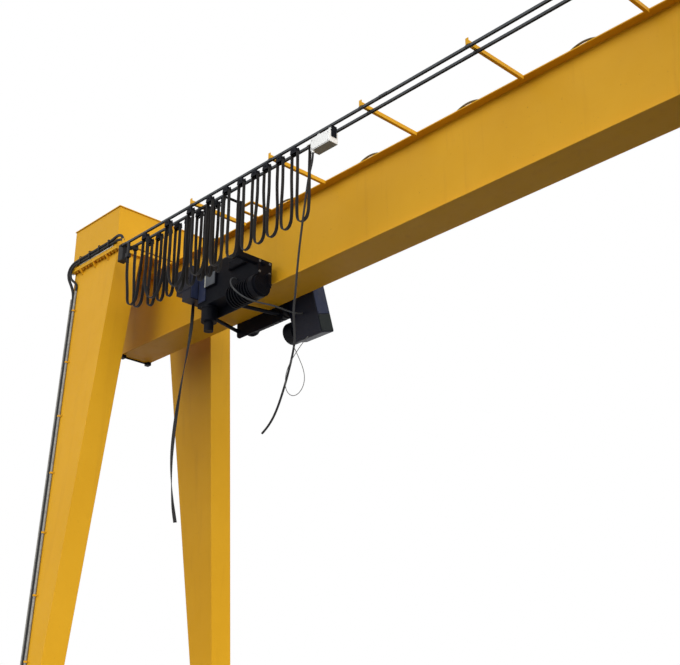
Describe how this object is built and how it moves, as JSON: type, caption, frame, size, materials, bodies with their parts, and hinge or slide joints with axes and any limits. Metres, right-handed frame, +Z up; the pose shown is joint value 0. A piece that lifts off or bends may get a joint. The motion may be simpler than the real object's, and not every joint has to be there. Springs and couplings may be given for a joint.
{
  "type": "gantry crane",
  "caption": "Single box-girder gantry crane on splayed tapered legs, with an underslung hoist trolley and side-hung festoon cables that slide along the girder.",
  "frame": {"origin": "centre of the crane's footprint, at ground level", "axes": "+X along the girder, away from the end that the picture shows; +Y away from the festoon side; +Z up"},
  "size_m": [12.0552, 4.1, 8.851],
  "materials": {
    "box_white": "matte",
    "cabinet_blue": "satin paint",
    "cable_black": "matte sheath",
    "conduit_grey": "galvanised",
    "hoist_dark": "satin dark paint",
    "rail_grey": "dull galvanised",
    "wheel_steel": "rolled steel",
    "yellow_paint": "satin paint"
  },
  "bodies": {
    "crane_frame": {"festoon_arms": "yellow_paint", "festoon_end_box": "cable_black", "festoon_rails": "rail_grey", "flange_loops": "yellow_paint", "girder_bottom_flange": "yellow_paint", "girder_end_plates": "yellow_paint", "girder_top_flange": "yellow_paint", "girder_webs": "yellow_paint", "ground_beams": "yellow_paint", "ground_wheels": "wheel_steel", "head_beams": "yellow_paint", "head_cable": "cable_black", "head_flanges": "yellow_paint", "leg_cable": "cable_black", "leg_conduits": "conduit_grey", "leg_flanges": "yellow_paint", "legs": "yellow_paint", "pendant_festoon_cable": "cable_black", "power_festoon_cable": "cable_black", "striker_bracket": "yellow_paint", "trolley_stops": "hoist_dark"},
    "hoist_trolley": {"control_cabinet": "cabinet_blue", "drive_case": "hoist_dark", "drum_brake": "hoist_dark", "drum_gearbox": "cabinet_blue", "hoist_cross_bars": "hoist_dark", "hoist_motor": "hoist_dark", "hoist_side_plates": "hoist_dark", "hoist_tail_cable": "cable_black", "motor_cable": "cable_black", "rope_drum_housing": "hoist_dark", "terminal_box": "hoist_dark", "tow_arm": "hoist_dark", "tow_carrier": "hoist_dark", "tow_fork": "hoist_dark", "tow_post": "hoist_dark", "travel_motor": "hoist_dark", "trolley_wheels": "wheel_steel"},
    "pendant_trolley": {"pendant_box": "box_white", "pendant_cable": "cable_black", "pendant_wire": "conduit_grey"},
    "pendant_carrier_01": {"pendant_carrier_01": "hoist_dark"},
    "pendant_carrier_02": {"pendant_carrier_02": "hoist_dark"},
    "pendant_carrier_03": {"pendant_carrier_03": "hoist_dark"},
    "pendant_carrier_04": {"pendant_carrier_04": "hoist_dark"},
    "pendant_carrier_05": {"pendant_carrier_05": "hoist_dark"},
    "pendant_carrier_06": {"pendant_carrier_06": "hoist_dark"},
    "pendant_carrier_07": {"pendant_carrier_07": "hoist_dark"},
    "pendant_carrier_08": {"pendant_carrier_08": "hoist_dark"},
    "pendant_carrier_09": {"pendant_carrier_09": "hoist_dark"},
    "pendant_carrier_10": {"pendant_carrier_10": "hoist_dark"},
    "power_carrier_01": {"power_carrier_01": "hoist_dark"},
    "power_carrier_02": {"power_carrier_02": "hoist_dark"},
    "power_carrier_03": {"power_carrier_03": "hoist_dark"},
    "power_carrier_04": {"power_carrier_04": "hoist_dark"},
    "power_carrier_05": {"power_carrier_05": "hoist_dark"},
    "power_carrier_06": {"power_carrier_06": "hoist_dark"},
    "power_carrier_07": {"power_carrier_07": "hoist_dark"},
    "power_carrier_08": {"power_carrier_08": "hoist_dark"}
  },
  "joints": [
    {"name": "hoist_traverse", "type": "slide", "parent": "crane_frame", "child": "hoist_trolley", "axis": [1, 0, 0], "range_m": [-0.5, 6.1], "deforming": ["power_festoon_cable"]},
    {"name": "pendant_slide", "type": "slide", "parent": "crane_frame", "child": "pendant_trolley", "axis": [1, 0, 0], "range_m": [-0.4, 4.9], "deforming": ["pendant_festoon_cable"]},
    {"name": "pendant_carrier_01_slide", "type": "slide", "parent": "crane_frame", "child": "pendant_carrier_01", "axis": [1, 0, 0], "range_m": [-0.0374, 0.4465]},
    {"name": "pendant_carrier_02_slide", "type": "slide", "parent": "crane_frame", "child": "pendant_carrier_02", "axis": [1, 0, 0], "range_m": [-0.0737, 0.8919]},
    {"name": "pendant_carrier_03_slide", "type": "slide", "parent": "crane_frame", "child": "pendant_carrier_03", "axis": [1, 0, 0], "range_m": [-0.1101, 1.3374]},
    {"name": "pendant_carrier_04_slide", "type": "slide", "parent": "crane_frame", "child": "pendant_carrier_04", "axis": [1, 0, 0], "range_m": [-0.1465, 1.7828]},
    {"name": "pendant_carrier_05_slide", "type": "slide", "parent": "crane_frame", "child": "pendant_carrier_05", "axis": [1, 0, 0], "range_m": [-0.1828, 2.2283]},
    {"name": "pendant_carrier_06_slide", "type": "slide", "parent": "crane_frame", "child": "pendant_carrier_06", "axis": [1, 0, 0], "range_m": [-0.2192, 2.6737]},
    {"name": "pendant_carrier_07_slide", "type": "slide", "parent": "crane_frame", "child": "pendant_carrier_07", "axis": [1, 0, 0], "range_m": [-0.2555, 3.1192]},
    {"name": "pendant_carrier_08_slide", "type": "slide", "parent": "crane_frame", "child": "pendant_carrier_08", "axis": [1, 0, 0], "range_m": [-0.2919, 3.5646]},
    {"name": "pendant_carrier_09_slide", "type": "slide", "parent": "crane_frame", "child": "pendant_carrier_09", "axis": [1, 0, 0], "range_m": [-0.3283, 4.0101]},
    {"name": "pendant_carrier_10_slide", "type": "slide", "parent": "crane_frame", "child": "pendant_carrier_10", "axis": [1, 0, 0], "range_m": [-0.3646, 4.4555]},
    {"name": "power_carrier_01_slide", "type": "slide", "parent": "crane_frame", "child": "power_carrier_01", "axis": [1, 0, 0], "range_m": [-0.0566, 0.6788]},
    {"name": "power_carrier_02_slide", "type": "slide", "parent": "crane_frame", "child": "power_carrier_02", "axis": [1, 0, 0], "range_m": [-0.1121, 1.3566]},
    {"name": "power_carrier_03_slide", "type": "slide", "parent": "crane_frame", "child": "power_carrier_03", "axis": [1, 0, 0], "range_m": [-0.1677, 2.0343]},
    {"name": "power_carrier_04_slide", "type": "slide", "parent": "crane_frame", "child": "power_carrier_04", "axis": [1, 0, 0], "range_m": [-0.2232, 2.7121]},
    {"name": "power_carrier_05_slide", "type": "slide", "parent": "crane_frame", "child": "power_carrier_05", "axis": [1, 0, 0], "range_m": [-0.2788, 3.3899]},
    {"name": "power_carrier_06_slide", "type": "slide", "parent": "crane_frame", "child": "power_carrier_06", "axis": [1, 0, 0], "range_m": [-0.3343, 4.0677]},
    {"name": "power_carrier_07_slide", "type": "slide", "parent": "crane_frame", "child": "power_carrier_07", "axis": [1, 0, 0], "range_m": [-0.3899, 4.7454]},
    {"name": "power_carrier_08_slide", "type": "slide", "parent": "crane_frame", "child": "power_carrier_08", "axis": [1, 0, 0], "range_m": [-0.4454, 5.4232]}
  ],
  "couplings": [
    {"joint": "pendant_carrier_01_slide", "follows": "pendant_slide", "ratio": 0.090909},
    {"joint": "pendant_carrier_02_slide", "follows": "pendant_slide", "ratio": 0.18182},
    {"joint": "pendant_carrier_03_slide", "follows": "pendant_slide", "ratio": 0.27273},
    {"joint": "pendant_carrier_04_slide", "follows": "pendant_slide", "ratio": 0.36364},
    {"joint": "pendant_carrier_05_slide", "follows": "pendant_slide", "ratio": 0.45455},
    {"joint": "pendant_carrier_06_slide", "follows": "pendant_slide", "ratio": 0.54545},
    {"joint": "pendant_carrier_07_slide", "follows": "pendant_slide", "ratio": 0.63636},
    {"joint": "pendant_carrier_08_slide", "follows": "pendant_slide", "ratio": 0.72727},
    {"joint": "pendant_carrier_09_slide", "follows": "pendant_slide", "ratio": 0.81818},
    {"joint": "pendant_carrier_10_slide", "follows": "pendant_slide", "ratio": 0.90909},
    {"joint": "power_carrier_01_slide", "follows": "hoist_traverse", "ratio": 0.11111},
    {"joint": "power_carrier_02_slide", "follows": "hoist_traverse", "ratio": 0.22222},
    {"joint": "power_carrier_03_slide", "follows": "hoist_traverse", "ratio": 0.33333},
    {"joint": "power_carrier_04_slide", "follows": "hoist_traverse", "ratio": 0.44444},
    {"joint": "power_carrier_05_slide", "follows": "hoist_traverse", "ratio": 0.55556},
    {"joint": "power_carrier_06_slide", "follows": "hoist_traverse", "ratio": 0.66667},
    {"joint": "power_carrier_07_slide", "follows": "hoist_traverse", "ratio": 0.77778},
    {"joint": "power_carrier_08_slide", "follows": "hoist_traverse", "ratio": 0.88889}
  ]
}
